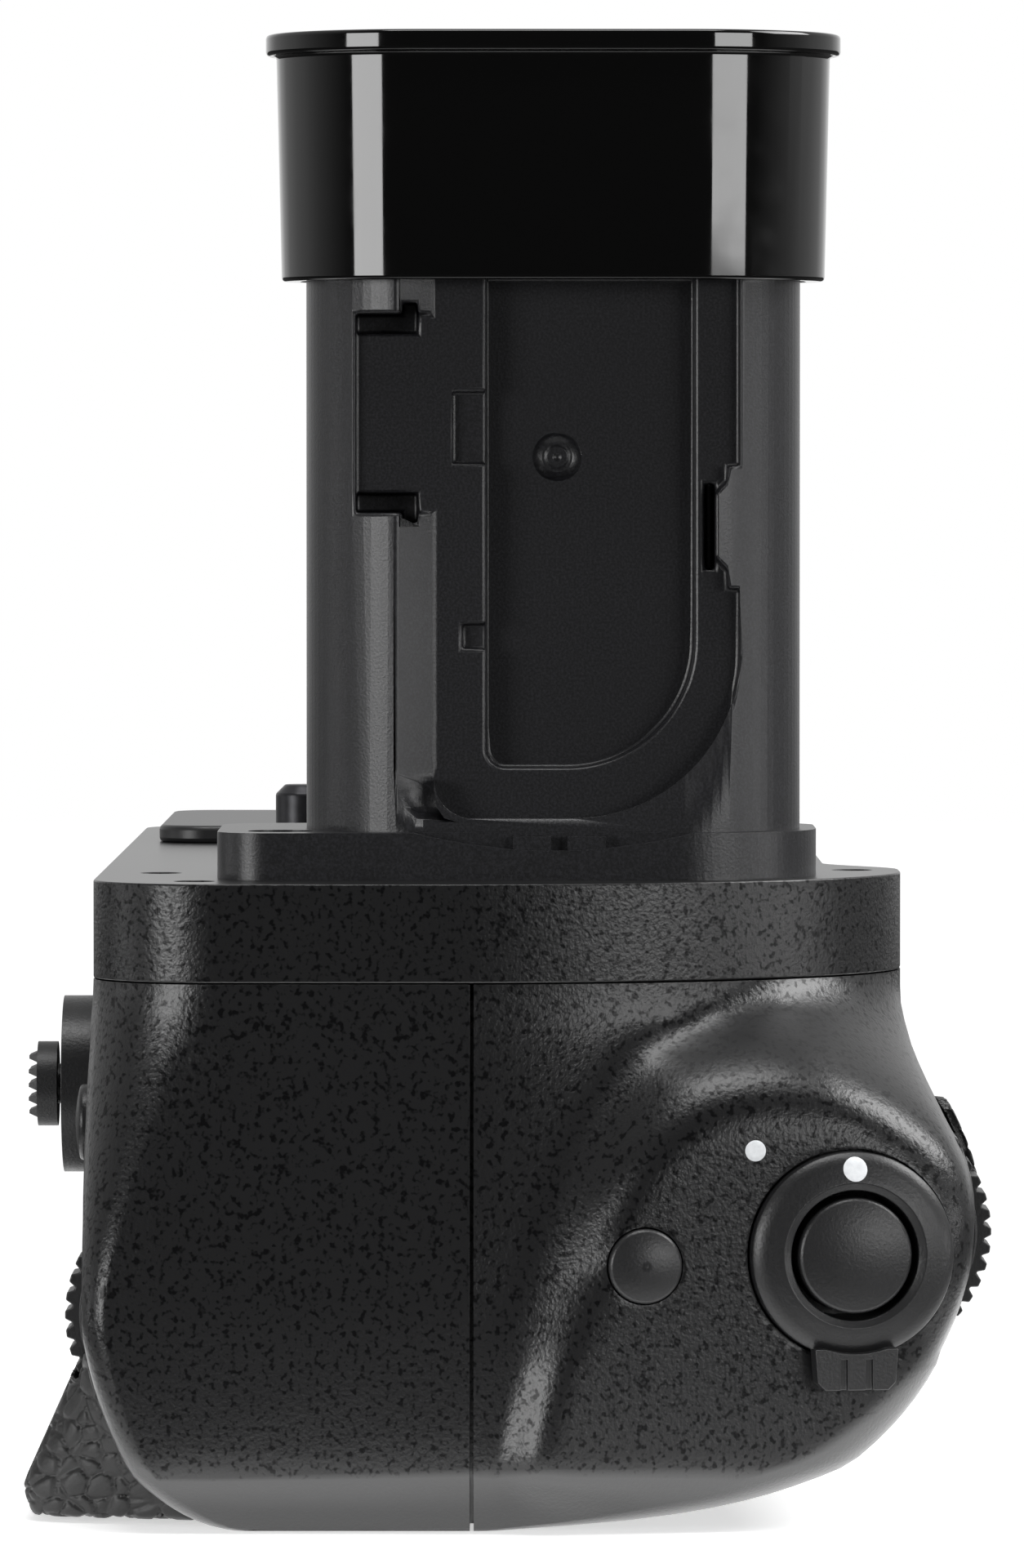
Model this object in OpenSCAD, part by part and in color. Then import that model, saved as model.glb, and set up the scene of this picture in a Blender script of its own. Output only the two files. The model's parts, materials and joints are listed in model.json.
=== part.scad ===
// Camera battery grip with vertical-shooting controls. Millimetres.
// +Z is up, the front is -Y and the shutter end is -X.
// The origin is the mouth of the tripod socket, on the base plane below the lens axis.

/* [Housing] */
// Lens axis to the shutter end of the top band
band_near = 55; // [52:0.5:62]
// Lens axis to the far end of the shells
far_end = 73; // [72.5:0.5:80]
// Thickness of the far end's wall
end_wall = 4.5; // [4:0.1:6]
// Front face of the band
band_front = 32.5; // [31:0.1:34]
// Rear face of the band
band_rear = 31.6; // [30.5:0.1:33]
// Rear face of the rear shell
rear_reach = 32.1; // [31.6:0.1:33.5]
// Corner radius of the band at the rear
band_corner = 10; // [8:0.5:12]
// How far the front corner of the band sweeps back, along the length
sweep_x = 26; // [20:0.5:28]
// Where that sweep starts, behind the lens axis
sweep_y = 3.7; // [2.5:0.1:6]
// Corner radius of the far end
far_corner = 6; // [4:0.5:7]
// Height of the band above the seam
band_h = 7.7; // [7:0.1:9]
// Room between the battery chamber and the top plate
top_room = 3.1; // [2.6:0.1:5]
// Thickness of the top plate
plate_t = 2.2; // [1.6:0.1:2.6]
// Wall of the band
band_wall = 2.4; // [1.8:0.1:3]
// Place of the seam between the front and rear shells
split_y = 1.8; // [0:0.1:4]
// Width of the seam between two shells
seam_gap = 0.3; // [0.1:0.05:0.5]
// Floor of the shells
floor_t = 2.2; // [1.6:0.1:2.6]
// Rounding of the lower edges past the hand grip
foot_r = 5; // [3:0.5:7]
// Where the body starts to step in past the hand grip, from the lens axis
step_start = 25; // [22:0.5:27]
// Length of that step
step_l = 12; // [10:0.5:14]

/* [Hand grip] */
// Furthest reach of the hand grip
grip_reach = 37.7; // [36.5:0.1:40]
// Height of that furthest reach
grip_level = 24.7; // [23:0.1:27]
// Fullness of its round underside: 2 is an ellipse
grip_round = 2.25; // [2:0.05:2.6]
// Where the round underside leaves the base plane
grip_keel = 2; // [1:0.1:4]
// Where the heel starts to fade at the rear, from the lens axis
grip_end = 12; // [8:0.5:16]
// Bulge of the end face below the band
end_bulge = 5; // [3:0.1:6.5]
// Height of the raked chin under the end face
chin_z = 6.5; // [5:0.1:8]
// How far the chin rakes back
chin_rake = 3.5; // [2:0.1:4.5]
// Where the heel leaves the base plane at the rear
heel_y = 21.3; // [20:0.1:23]
// Height of the heel's curve
heel_z = 16; // [14:0.5:18]
// Rise of the control plateau past the band
plateau_rise = 6.5; // [5.5:0.1:7.5]
// Tilt of the control plateau towards the front
plateau_tilt = 11; // [9:0.5:13]
// Top of the control plateau
plateau_top = 36.5; // [35.5:0.1:37.5]

/* [Battery stem] */
// Width of the stem
stem_w = 39.2; // [37:0.1:40]
// Thickness of the stem
stem_t = 19.6; // [18.5:0.1:20.5]
// Height of the stem above its base plate
stem_h = 58.6; // [56:0.1:62]
// Flat left between the round corners on the stem's narrow sides
stem_flat = 0.8; // [0.4:0.1:4]
// Lens axis to the middle of the stem
stem_x = 36; // [35:0.5:38]
// Lens axis to the middle of the stem, towards the front
stem_y = 4.6; // [3:0.1:6]
// Width of the base plate
base_w = 47.4; // [46.4:0.1:48]
// Depth of the base plate
base_d = 23; // [22.4:0.1:24]
// Thickness of the base plate
base_t = 3.7; // [3:0.1:4.5]
// Depth of the door pocket
pocket_d = 2.6; // [2:0.1:3.2]
// Depth of the inner well, from the stem's face
well_d = 5.2; // [4.8:0.1:6]

/* [Contact cap] */
// Height of the cap
cap_h = 19.5; // [15:0.5:24]
// Wall of the cap
cap_wall = 1.7; // [1:0.1:1.8]
// Draft of the cap on each side
cap_draft = 0.45; // [0:0.05:0.6]
// Lip past the cap's wall
cap_lip = 0.8; // [0.4:0.1:1.2]
// Height of the lip
cap_lip_h = 1.65; // [1:0.05:2.5]
// Room between the cap and the stem
cap_gap = 0.25; // [0.15:0.05:0.4]

/* [Camera attachment] */
// Radius of the quarter-inch screw
screw_r = 3.175; // [3:0.025:3.3]
// Height of the screw above the top face
screw_h = 5.5; // [4:0.1:6]
// Module of the gear pair
gear_m = 1; // [0.96:0.01:1.02]
// Teeth on the thumb wheel
wheel_teeth = 20; // [19:1:21]
// Teeth on the screw's gear
screw_teeth = 25; // [24:1:26]
// Thickness of the gears
gear_t = 4; // [3:0.1:4.2]
// Radius of the locating peg
peg_r = 2.25; // [1.8:0.05:2.5]
// Height of the locating peg
peg_h = 5.6; // [4:0.1:6]
// Radius of the tripod socket's thread
socket_r = 3.175; // [3:0.025:3.3]
// Depth of the tripod socket
socket_d = 7; // [5:0.1:8]

/* [Controls] */
// Radius of the shutter button
shutter_r = 4.5; // [4.2:0.05:4.8]
// Outer radius of the lock ring
ring_r = 8; // [7.6:0.1:8.3]
// Travel of the shutter button
shutter_travel = 1; // [0.6:0.1:1.1]
// Radius of the function button
function_r = 2.9; // [2.4:0.05:3.2]
// Radius of the thumb button
thumb_r = 3; // [2.6:0.05:3.2]
// Travel of the small buttons
button_travel = 0.6; // [0.3:0.05:0.7]
// Radius of the front dial
front_dial_r = 9.9; // [9.5:0.1:10.2]
// Radius of the rear dial
rear_dial_r = 10.3; // [10:0.1:10.6]
// Width of a dial
dial_w = 7; // [6:0.1:7.5]
// Ribs around a dial
dial_ribs = 44; // [32:1:46]
// Radius of a dial's shaft
shaft_r = 1.5; // [1.2:0.05:1.8]
// Radius of the joystick's bezel
bezel_r = 7.1; // [6:0.1:7.4]
// Radius of the joystick's knob
knob_r = 3.4; // [2.6:0.1:3.6]
// How far the thumb rest stands out past the rear face
rest_out = 4.9; // [3:0.1:6]

/* [Battery tray] */
// Width of one battery bay
bay_w = 21.3; // [20.5:0.1:21.6]
// Height of one battery bay
bay_h = 39; // [37.5:0.1:39.4]
// Length of one battery bay
bay_l = 53; // [51:0.5:53]
// Wall of the tray
tray_wall = 1.1; // [0.9:0.1:1.3]
// Wall of the chamber
chamber_wall = 1; // [0.8:0.1:1.2]
// Thickness of the tray's end cover
cover_t = 2.5; // [2:0.1:4]
// Radius of the latch knob
latch_r = 8; // [6:0.5:10]

/* [Clearances] */
// Radial room of a turning fit
running_gap = 0.06; // [0.03:0.01:0.1]
// Radial room of a button in its bore
button_gap = 0.12; // [0.08:0.01:0.2]
// Room around a moving piece
moving_gap = 0.4; // [0.3:0.05:0.6]
// Room of the tray in its chamber
tray_gap = 0.3; // [0.2:0.05:0.4]

/* [Hidden] */
$fn = 64;
eps = 0.02;
// Loft of the shells: levels up the height, and points around each half
levels = 40;
face_steps = 30;
rear_face_steps = 8;
level_rise = 1.3;
corner_steps = 8;
side_steps = 24;
grip_steps = 2;
step_steps = 10;
body_steps = 4;
seam_line = 0.1;
lip_in = 1.2;
lip_l = 1.1;
lip_t = 0.8;
lip_root = 0.5;
lip_gap = 0.1;
lip_clear = 3.5;
side_start = -42;
front_start = -28;
side_end = far_end - far_corner;
// Heights that follow the battery chamber
chamber_in_h = bay_h + tray_wall + 2 * tray_gap;
chamber_top = floor_t + chamber_in_h + 2 * chamber_wall;
top_z = chamber_top + top_room + plate_t;
seam_z = top_z - band_h;
shell_top = seam_z - seam_line;
level_z = [for (i = [0:levels]) shell_top * pow(i / levels, level_rise)];
// Stations along the sides: close together where the front steps in
front_x = [each stations(front_start, -step_start, grip_steps),
  each stations(-step_start, step_l - step_start, step_steps),
  each stations(step_l - step_start, side_end, body_steps), side_end];
rear_x = [each stations(side_start, side_end, side_steps), side_end];
front_seam = split_y - seam_gap / 2;
rear_seam = split_y + seam_gap / 2;
plateau_corner = 3;
chin_corner = 9;
heel_corner = 2.5;
plateau_edge_y = -5;
step_wall = 1;
hollow_y = 12;
hollow_rise = 0.8;
hollow_side_z = 18;
// Inside of the shells, and the front of the body past the hand grip
cavity_x = -36;
tray_w = 2 * bay_w + 3 * tray_wall;
chamber_in_w = tray_w + 2 * tray_gap;
chamber_room = 0.15;
body_in = chamber_in_w / 2 + chamber_wall + chamber_room;
body_front = body_in + band_wall;
cavity_y = max(28, body_in);
// Stem
base_z = top_z;
stem_z = base_z + base_t;
stem_top = stem_z + stem_h;
stem_face = -stem_x - stem_t / 2;
stem_r = (stem_t - stem_flat) / 2;
block_h = 2.6;
base_mid_y = -1.8;
base_r = 4;
base_turn = 11;
scoop_w = 22;
scoop_d = 1.4;
scoop_in = 1.6;
ramp_at = [-2.6, 1.7];
ramp_w = 3;
// Door pocket in the stem's own face
pocket_left = -9.4;
pocket_right = 14.65;
pocket_low = 1.05;
pocket_turn = 13;
hinge_left = -15.6;
hinge_low = 25.1;
hinge_high = 40.75;
slot_w = 4.9;
slot_h = 1.55;
well_left = -5.3;
well_right = 11.1;
well_low = 5;
well_high = 43.6;
well_turn = 10;
dimple_d = 1;
dimple_ball = 2.4;
stem_dimple_y = 0.3;
stem_dimple_z = 29.5;
// Cap
cap_roof = stem_top + block_h;
cap_top = cap_roof + cap_wall;
cap_bottom = cap_top - cap_h;
// Gear pair
wheel_pitch = gear_m * wheel_teeth / 2;
screw_pitch = gear_m * screw_teeth / 2;
wheel_y = wheel_pitch + screw_pitch;
gear_top = top_z - plate_t - 0.8;
gear_z = gear_top - gear_t;
backlash = 0.3;
wheel_rim = wheel_pitch + gear_m + 0.2;
bracket_t = 1.5;
shank_r = screw_r - 0.3;
relief = 0.2;
tip = 0.8;
// Peg
peg_x = 14;
peg_y = 16.4;
peg_in = 1.4;
spigot_r = peg_r - 0.3;
// Dials
front_dial_in = 8.5;
front_dial_end = 38.5;
front_dial_y = front_dial_in - grip_reach;
front_dial_z = 22.4;
front_dial_x = -front_dial_end - dial_w;
rear_dial_y = 23.4;
rear_dial_z = 16.2;
rear_dial_end = 43;
rear_dial_x = -rear_dial_end - dial_w;
shaft_past = 1.1;
// Controls
shutter_in = 10.1;
shutter_y = shutter_in - grip_reach;
shutter_z = 21.6;
function_y = -11.6;
function_z = 20.9;
ring_in = shutter_r + 0.55;
hub_r = ring_in + 1.15;
hub_d = 3.6;
ring_seat = 1.6;
shutter_floor = 9;
stem_guide_r = 3;
function_floor = 5;
switch_h = 0.8;
thumb_x = -41;
thumb_z = 30.8;
thumb_floor = 6;
joy_x = -27;
joy_down = 9.5;
joy_z = seam_z - joy_down;
joy_pivot_y = cavity_y + 1.6;
bezel_out = 2.6;
knob_up = 0.5;
gimbal_r = 4.4;
pin_r = 0.6;
// Tray
tray_end = far_end - cover_t;
tray_back = tray_end - bay_l - 2 * tray_wall;
chamber_z = floor_t;
tray_z = chamber_z + chamber_wall + tray_gap;
tray_h = bay_h + tray_wall;
chamber_back = tray_back - tray_gap - chamber_wall;
cover_rim = 0.6;
cover_w = tray_w + 2 * cover_rim;
cover_z = tray_z - cover_rim;
cover_h = tray_h + 2 * cover_rim;
cover_r = 3;
latch_y = latch_r + 2 - cover_w / 2;
latch_z = cover_z + cover_h / 2;
latch_shaft_r = 2;
tongue_t = 0.6;
tongue_in = 0.15;
tongue_l = cover_w / 2 + latch_y + 2;
blade_t = 0.6;
blade_w = 3;
blade_in = 2;
contact_d = 4;
blade_up = [14, 22, 30];
blade_margin = 4;
contact_w = 17;
// Thumb rest and grip skin: the stations and levels that they cover
rest_near = 4;
rest_far = 10;
rest_start = 1.5 - band_near;
rest_last = 9;
rest_stop = rear_x[rest_last];
rest_x = [each stations(rest_start, rest_start + rest_near, 3),
  each stations(rest_start + rest_near, side_start, 2), each [for (i = [0:rest_last]) rear_x[i]]];
rest_z = 3;
rest_rise = 11;
rest_levels = level_at(rest_z + rest_rise);
skin_start = -37;
skin_end = -18.5;
skin_low = level_at(13);
skin_high = level_at(32);
skin_t = 0.8;
board_t = 1.6;
board_y = 20;
board_front = 24;
board_z = 26;
pad_h = 1.5;
pad_x = 30;
pad_front = 19;
pad_edge = 2.4;
pad_r = 4;
foot_screw_r = 2.2;
top_screw_r = 1.6;

// Even stations from a up to, but not at, b
function stations(a, b, n) = [for (i = [0:n - 1]) a + (b - a) * i / n];

// Loft level that lies just under a height
function level_at(z) = floor(levels * pow(z / shell_top, 1 / level_rise));

// Smooth step from 0 to 1
function ease(t) = let (c = min(1, max(0, t))) c * c * (3 - 2 * c);

// Part way from a to b
function mix(a, b, t) = a + (b - a) * t;

// Smooth least of two distances
function soft_min(a, b, k) = let (h = max(0, k - abs(a - b)) / k) min(a, b) - h * h * k / 4;

// Reach of the hand grip in front of the lens axis: a full quarter ellipse, then a fade to the band
function grip_front(z) = z < grip_level
  ? grip_keel + (grip_reach - grip_keel)
    * pow(max(0, 1 - pow((grip_level - z) / grip_level, grip_round)), 1 / grip_round)
  : mix(grip_reach, band_front, ease((z - grip_level) / (seam_z - 2 - grip_level)));

// Reach of the heel behind the lens axis
function heel_rear(z) = z < heel_z
  ? mix(heel_y, rear_reach, pow(1 - pow((heel_z - z) / heel_z, 1.5), 1 / 1.5))
  : mix(rear_reach, band_rear, ease((z - seam_z + 8) / 8));

// Reach of the plain box past the hand grip, with its lower edge rounded
function box_side(reach, z) = z < foot_r
  ? reach - foot_r + sqrt(pow(foot_r, 2) - pow(foot_r - z, 2))
  : reach;

// How far the hand grip at the front, and the heel at the rear, have faded into the plain box
function front_fade(x) = ease((x + step_start) / step_l);
function rear_fade(x) = ease((x + grip_end) / (2 * grip_end));
function front_y(x, z) = -mix(grip_front(z), box_side(body_front, z), front_fade(x));
function rear_y(x, z) = mix(heel_rear(z), box_side(band_rear, z), rear_fade(x));

// Corner radii between the end face and the sides
function front_corner(z) = z > grip_level
  ? mix(plateau_corner, band_corner, ease((z - grip_level) / (seam_z - grip_level)))
  : mix(chin_corner, plateau_corner, ease(z / (0.6 * grip_level)));
function rear_corner(z) = mix(heel_corner, band_corner, ease((z - heel_z) / (seam_z - heel_z)));

// Bulge of the end face past the band, with the raked chin under it
function end_out(z) = end_bulge * ease((seam_z - z) / (seam_z - heel_z))
  - chin_rake * max(0, 1 - z / chin_z);

// Control plateau: a tilted plane inside a soft-cornered lobe
function plateau_out(y) = plateau_rise + tan(plateau_tilt) * (y - plateau_edge_y);
function plateau_left(z) = -2 - 0.3 * (z - 8) - chin_shift(z);
function chin_shift(z) = 4 * ease((chin_z + 1 - z) / chin_z);
function plateau_crest(y) = plateau_top - 0.02 * pow(y + 21, 2);
function plateau_ramp(y) = mix(2, 6.5, ease((-y - 6) / 22));
function plateau_mask(y, z) = let (
    d = soft_min(plateau_left(z) - y, plateau_crest(y) - z, 8),
    m = plateau_ramp(y))
  ease((d + m) / (m + 2.4)) * ease(z / chin_z);
function plateau_x(y, z) = -band_near - plateau_out(y) + chin_rake * max(0, 1 - z / chin_z);

// Plan of the band's near end, drawn in by a margin: flat at the rear, then an ellipse round to the front
function near_x(y, inset) = let (share = max(0, sweep_y - y) / (band_front + sweep_y - inset))
  sweep_x - band_near - (sweep_x - inset) * sqrt(max(0, 1 - share * share));

// How much of that sweep is left at a level
function sweep_share(z) = ease((z - 10) / (grip_level - 10));

// Front half of the end face at one place, where the corner has come in by back
function front_face_x(y, z, reach, back) = let (
    swept_y = sweep_y - (sweep_y - y) * (band_front + sweep_y) / (reach + sweep_y),
    body = mix(back - band_near, near_x(swept_y, 0), sweep_share(z)) - end_out(z))
  mix(body, plateau_x(y, z) + back, plateau_mask(y, z));

// Outline of the front half at one level, from the seam round to the far end
function front_slice(z) = let (
    reach = -front_y(front_start, z),
    r = min(front_corner(z), 0.9 * (reach + front_seam)))
  concat(
    [for (i = [0:face_steps - 1])
      let (y = mix(front_seam, r - reach, i / face_steps)) [front_face_x(y, z, reach, 0), y, z]],
    [for (i = [0:corner_steps])
      let (a = 90 * i / corner_steps, y = r * (1 - sin(a)) - reach)
        [front_face_x(y, z, reach, r * (1 - cos(a))), y, z]],
    [for (x = front_x) [x, front_y(x, z), z]],
    [for (i = [1:4]) let (a = 22.5 * i)
      [side_end + far_corner * sin(a), front_y(far_end, z) + far_corner * (1 - cos(a)), z]],
    [[far_end, front_seam, z]]);

// Rear half of the end face, which takes the start of the front's sweep
function rear_face_x(y, z) = mix(-band_near, near_x(y, 0), sweep_share(z)) - end_out(z);

// Outline of the rear half at one level, from the far end round to the seam
function rear_slice(z) = let (
    reach = rear_y(side_start, z),
    r = min(rear_corner(z), 0.9 * (reach - rear_seam)))
  concat(
    [[far_end, rear_seam, z]],
    [for (i = [4:-1:1]) let (a = 22.5 * i)
      [side_end + far_corner * sin(a), rear_y(far_end, z) - far_corner * (1 - cos(a)), z]],
    [for (i = [side_steps:-1:0]) [rear_x[i], rear_y(rear_x[i], z), z]],
    [for (i = [corner_steps:-1:0])
      let (a = 90 * i / corner_steps, y = reach - r * (1 - sin(a)))
        [r * (1 - cos(a)) - band_near - end_out(z), y, z]],
    [for (i = [1:rear_face_steps])
      let (y = mix(reach - r, rear_seam, i / rear_face_steps)) [rear_face_x(y, z), y, z]]);

// Solid between slices that all have the same count of points; the end faces fan out from one of them
module loft(slices, apex) {
  n = len(slices[0]);
  last = len(slices) - 1;
  points = [for (s = slices) each s];
  sides = [for (i = [0:last - 1]) for (j = [0:n - 1]) let (k = (j + 1) % n)
    each [[i * n + j, (i + 1) * n + j, (i + 1) * n + k], [i * n + j, (i + 1) * n + k, i * n + k]]];
  fan = [for (j = [0:n - 1]) let (k = (j + 1) % n) if (j != apex && k != apex) [apex, j, k]];
  top = [for (f = fan) [f[2] + last * n, f[1] + last * n, f[0] + last * n]];
  polyhedron(points, concat(sides, fan, top), convexity = 8);
}

// A slice moved to another level
function raised(slice, z) = [for (p = slice) [p[0], p[1], z]];

// Loft of one shell, run past both ends and then cut flat at the base plane and under the band
module shell_loft(slices, apex) {
  difference() {
    loft([raised(slices[0], -1), each slices, raised(slices[levels], shell_top + 1)], apex);
    box(-2 * far_end, 2 * far_end, -far_end, far_end, shell_top, shell_top + 2);
    box(-2 * far_end, 2 * far_end, -far_end, far_end, -2, 0);
  }
}

// Solid between two grids of points, inner and outer, that share their edges' directions
module patch(inner, outer) {
  rows = len(inner);
  n = len(inner[0]);
  back = rows * n;
  points = concat([for (row = outer) each row], [for (row = inner) each row]);
  skin = [for (i = [0:rows - 2]) for (j = [0:n - 2]) let (a = i * n + j)
    each [[a, a + n, a + n + 1], [a, a + n + 1, a + 1]]];
  lining = [for (f = skin) [f[2] + back, f[1] + back, f[0] + back]];
  rim = [for (i = [0:rows - 2]) for (e = [[0, 0], [n - 1, 1]])
    let (a = i * n + e[0], b = a + n)
      each (e[1] == 0
        ? [[a, a + back, b + back], [a, b + back, b]]
        : [[a, b, b + back], [a, b + back, a + back]])];
  ends = [for (j = [0:n - 2]) for (e = [[0, 0], [rows - 1, 1]])
    let (a = e[0] * n + j, b = a + 1)
      each (e[1] == 0
        ? [[a, b, b + back], [a, b + back, a + back]]
        : [[a, a + back, b + back], [a, b + back, b]])];
  polyhedron(points, concat(skin, lining, rim, ends), convexity = 8);
}

// Rectangle with round corners, from two squares and four circles
module round_rect(x0, x1, y0, y1, r) {
  translate([x0 + r, y0]) square([x1 - x0 - 2 * r, y1 - y0]);
  translate([x0, y0 + r]) square([x1 - x0, y1 - y0 - 2 * r]);
  for (x = [x0 + r, x1 - r], y = [y0 + r, y1 - r]) translate([x, y]) circle(r);
}

// Prism of such a rectangle
module round_box(x0, x1, y0, y1, z0, z1, r) {
  translate([0, 0, z0]) linear_extrude(z1 - z0) round_rect(x0, x1, y0, y1, r);
}

// Plain box between two corners
module box(x0, x1, y0, y1, z0, z1) {
  translate([x0, y0, z0]) cube([x1 - x0, y1 - y0, z1 - z0]);
}

// Cylinder along +X
module rod_x(x0, x1, y, z, r) {
  translate([x0, y, z]) rotate([0, 90, 0]) cylinder(h = x1 - x0, r = r);
}

// Cylinder along +Y
module rod_y(y0, y1, x, z, r) {
  translate([x, y0, z]) rotate([-90, 0, 0]) cylinder(h = y1 - y0, r = r);
}

// Cylinder along +Z between two heights
module rod_z(z0, z1, x, y, r) {
  translate([x, y, z0]) cylinder(h = z1 - z0, r = r);
}

// Local frame on the control plateau: +Z leaves the plateau, +X points up
module on_plateau(y, z) {
  translate([-band_near - plateau_out(y), y, z]) rotate([0, -90, plateau_tilt]) children();
}

// Outline drawn in the stem's own face: X runs to the front, Y runs up from the stem's foot
module on_stem_face(depth) {
  translate([stem_face - eps, -stem_y, stem_z])
    rotate([90, 0, -90]) translate([0, 0, -depth - eps]) linear_extrude(depth + 2 * eps) children();
}

// Involute in degrees at radius r of a gear whose base circle is base
function involute(base, r) = let (a = acos(min(1, base / r))) tan(a) * 180 / PI - a;

// Outline of a spur gear with a tooth on +X
module gear_outline(teeth) {
  pitch = gear_m * teeth / 2;
  base = pitch * cos(20);
  root = pitch - 1.25 * gear_m;
  tip = pitch + 0.9 * gear_m;
  half = (PI * gear_m / 2 - backlash) / pitch / 2 * 180 / PI + involute(base, pitch);
  flank = [for (r = [root, for (k = [0:4]) mix(base, tip, k / 4)]) [r, half - involute(base, max(r, base))]];
  polygon([for (t = [0:teeth - 1]) let (mid = 360 * t / teeth) each concat(
    [for (p = flank) [p[0] * cos(mid - p[1]), p[0] * sin(mid - p[1])]],
    [for (k = [len(flank) - 1:-1:0]) let (p = flank[k])
      [p[0] * cos(mid + p[1]), p[0] * sin(mid + p[1])]])]);
}

// Outline of a ribbed dial
module dial_outline(r) {
  depth = 0.55;
  polygon([for (t = [0:dial_ribs - 1]) let (mid = 360 * t / dial_ribs, step = 360 / dial_ribs)
    each [for (p = [[-0.42, depth], [-0.2, 0], [0.2, 0], [0.42, depth]])
      [(r - p[1]) * cos(mid + p[0] * step), (r - p[1]) * sin(mid + p[0] * step)]]]);
}

// Ribbed dial along +X, with plain chamfered edges and a bore for its shaft
module dial(x, y, z, r) {
  edge = 0.8;
  translate([x, y, z]) rotate([0, 90, 0]) difference() {
    union() {
      translate([0, 0, edge]) linear_extrude(dial_w - 2 * edge) dial_outline(r);
      cylinder(h = dial_w, r = r - 1.2);
    }
    translate([0, 0, -eps]) cylinder(h = dial_w + 2 * eps, r = shaft_r + running_gap);
  }
}

// Button along +Z with a crowned top, skirt below
module crowned_button(r, top, bottom, crown) {
  big = (r * r + crown * crown) / (2 * crown);
  intersection() {
    translate([0, 0, bottom]) cylinder(h = top - bottom, r = r);
    translate([0, 0, top - big]) sphere(r = big, $fn = 96);
  }
}

// Small tactile switch standing on its floor
module tactile_switch(floor_z, r) {
  translate([0, 0, floor_z]) cylinder(h = 0.5, r = r);
  translate([0, 0, floor_z + 0.5 - eps]) cylinder(h = switch_h - 0.5 + eps, r = 0.6 * r);
}

// Places of the fasteners
function top_screw_at() = [[-33, band_rear - 4.9], [-49, band_rear - 8.1], [-27, 3.8 - band_front],
  [24, 4 - body_front], [far_end - 7, 5 - body_front], [far_end - 7, band_rear - 5.6]];
function foot_screw_at() = [[-30, 12], [18, 18], [18, -18], [far_end - 13, 18], [far_end - 13, -18]];

// Plan of the band, drawn in by a margin: wide corners at the shutter end, a step in the front
module band_outline(inset) {
  x0 = inset - band_near;
  x1 = far_end - inset;
  y1 = band_rear - inset;
  near_r = band_corner - inset;
  far_r = far_corner - inset;
  far_y = inset - body_front;
  polygon([[x0 + near_r, y1], [x0, y1 - near_r], [x0, sweep_y],
    each [for (p = front_slice(shell_top)) if (p[1] < sweep_y && p[0] < front_start)
      let (y = sweep_y - (sweep_y - p[1]) * (band_front + sweep_y - inset) / (band_front + sweep_y))
        [near_x(y, inset), y]],
    each [for (x = front_x) [x, inset - mix(band_front, body_front, front_fade(x))]],
    [x1 - far_r, far_y], [x1 - far_r, y1]]);
  translate([x1 - far_r - eps, far_y + far_r]) square([far_r + eps, y1 - far_y - 2 * far_r]);
  translate([x0 + near_r, y1 - near_r]) circle(near_r);
  for (y = [far_y + far_r, y1 - far_r]) translate([x1 - far_r, y]) circle(far_r);
}

module top_cover() color("#232324") difference() {
  translate([0, 0, seam_z]) linear_extrude(top_z - seam_z) band_outline(0);
  translate([0, 0, seam_z - eps]) linear_extrude(top_z - plate_t - seam_z + eps) band_outline(band_wall);
  rod_z(top_z - plate_t - eps, top_z + eps, 0, 0, screw_r + moving_gap);
  rod_z(top_z - plate_t - eps, top_z - plate_t + 1.2, 0, wheel_y, shaft_r);
  rod_z(top_z - peg_in, top_z + eps, peg_x, peg_y, spigot_r);
  wheel_slot();
  tray_door();
  for (p = top_screw_at()) rod_z(top_z - 1, top_z + eps, p[0], p[1], top_screw_r);
}

// Opening in the band's rear wall for the thumb wheel
module wheel_slot() {
  half = sqrt(pow(wheel_rim + moving_gap, 2) - pow(band_rear - band_wall - wheel_y, 2)) + 0.4;
  box(-half, half, band_rear - band_wall - eps, band_rear + 1, gear_z - moving_gap, gear_top + moving_gap);
}

// Lip of the rear shell, which laps the seam inside the near end's wall and along the floor
module seam_lip(room) {
  low = floor_t / 2 - lip_t / 2 - room;
  high = floor_t / 2 + lip_t / 2 + room;
  top = shell_top - lip_in + room;
  edge = [for (z = [low, each [for (z = level_z) if (z > low && z < top) z], top])
    [front_slice(z)[0][0] + lip_in - room, z]];
  translate([0, rear_seam + (room > 0 ? 0 : lip_root), 0]) rotate([90, 0, 0])
    linear_extrude(seam_gap + lip_l + (room > 0 ? room : lip_root))
      polygon(concat(edge, [[cavity_x - lip_root, top], [cavity_x - lip_root, high],
        [-socket_r - lip_clear + room, high], [-socket_r - lip_clear + room, low]]));
}

// Hollow inside both shells: wide in the hand grip, drawn in past the step, square round the chamber
module shell_cavity() {
  step_x = step_wall - step_start;
  grip_hollow(cavity_x, step_x, cavity_y);
  grip_hollow(step_x - 1, grip_end + 1, body_in);
  box(grip_end, far_end - end_wall, -body_in, cavity_y, floor_t, top_z);
}

// One length of the hollow, whose floor rises towards both sides
module grip_hollow(x0, x1, front) {
  translate([x0, 0, 0]) rotate([90, 0, 90]) linear_extrude(x1 - x0)
    polygon([[-front, top_z], [-front, hollow_side_z], [-hollow_y, floor_t + hollow_rise], [0, floor_t],
      [heel_y - 3, floor_t], [cavity_y, heel_z - 3], [cavity_y, top_z]]);
}

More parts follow.
